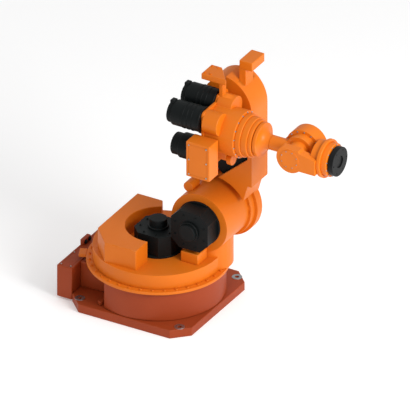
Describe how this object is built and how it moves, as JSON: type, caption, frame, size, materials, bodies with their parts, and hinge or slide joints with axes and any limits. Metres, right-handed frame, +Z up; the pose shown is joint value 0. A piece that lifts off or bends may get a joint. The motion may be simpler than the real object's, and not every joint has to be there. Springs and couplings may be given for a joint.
{
  "type": "industrial robot arm",
  "caption": "Heavy floor-standing jointed-arm industrial robot with a turning column, link arm, forearm, wrist and bolted tool flange.",
  "frame": {"origin": "underside of the base plate, on the vertical turning axis", "axes": "+X forward along the forearm, +Y to the robot's left, +Z up"},
  "size_m": [2.368, 1.16, 2.211],
  "materials": {
    "base_paint": "satin red-brown paint on cast iron",
    "orange_paint": "satin orange paint on castings",
    "motor_black": "satin black paint on motor housings",
    "tool_black": "blackened steel",
    "bearing_steel": "ground steel"
  },
  "bodies": {
    "base": {"base_plate": "base_paint", "base_drum": "base_paint", "slewing_ring": "bearing_steel", "rear_connector_box": "base_paint", "rear_cable_block": "base_paint", "locating_stud": "base_paint"},
    "column": {"turntable_disc": "orange_paint", "stop_tab": "orange_paint", "column_casting": "orange_paint", "axis_1_motor": "motor_black", "axis_1_motor_cap": "motor_black", "shoulder_step": "orange_paint", "axis_2_motor": "motor_black", "axis_2_motor_cap": "motor_black", "shoulder_ring": "orange_paint", "stop_buffer": "orange_paint"},
    "link": {"link_arm": "orange_paint", "lower_hub_cover": "orange_paint", "elbow_cover": "orange_paint", "axis_3_motor": "motor_black", "far_top_bracket": "orange_paint"},
    "arm": {"arm_housing": "orange_paint", "motor_flange": "orange_paint", "elbow_bearing": "bearing_steel", "axis_4_motor": "motor_black", "axis_4_motor_tail": "motor_black", "axis_5_motor": "motor_black", "axis_5_motor_tail": "motor_black", "axis_6_motor": "motor_black", "axis_6_motor_tail": "motor_black", "lower_shaft_tube": "orange_paint", "junction_box": "orange_paint", "near_top_bracket": "orange_paint", "forearm_collar": "orange_paint", "forearm_ring": "orange_paint", "roll_seat": "orange_paint", "roll_bearing": "bearing_steel"},
    "forearm": {"forearm_flange": "orange_paint", "forearm_cone": "orange_paint", "wrist_yoke": "orange_paint"},
    "hand": {"hand_cheek": "orange_paint", "axis_6_housing": "orange_paint", "axis_6_ring": "orange_paint", "tool_bearing": "bearing_steel"},
    "tool": {"tool_flange": "tool_black"}
  },
  "joints": [
    {"name": "axis_1", "type": "hinge", "parent": "base", "child": "column", "pos_m": [0, 0, 0.336], "axis": [0, 0, 1], "range_deg": [-185, 185]},
    {"name": "axis_2", "type": "hinge", "parent": "column", "child": "link", "pos_m": [0.383, 0, 0.79], "axis": [0, 1, 0], "range_deg": [-45, 60]},
    {"name": "axis_3", "type": "hinge", "parent": "link", "child": "arm", "pos_m": [0.448, 0, 1.776], "axis": [0, -1, 0], "range_deg": [-60, 150]},
    {"name": "axis_4", "type": "hinge", "parent": "arm", "child": "forearm", "pos_m": [0.942, 0, 1.72], "axis": [1, 0, 0], "range_deg": [-350, 350]},
    {"name": "axis_5", "type": "hinge", "parent": "forearm", "child": "hand", "pos_m": [1.308, 0, 1.72], "axis": [0, 1, 0], "range_deg": [-115, 115]},
    {"name": "axis_6", "type": "hinge", "parent": "hand", "child": "tool", "pos_m": [1.632, 0, 1.72], "axis": [1, 0, 0], "range_deg": [-350, 350]}
  ]
}
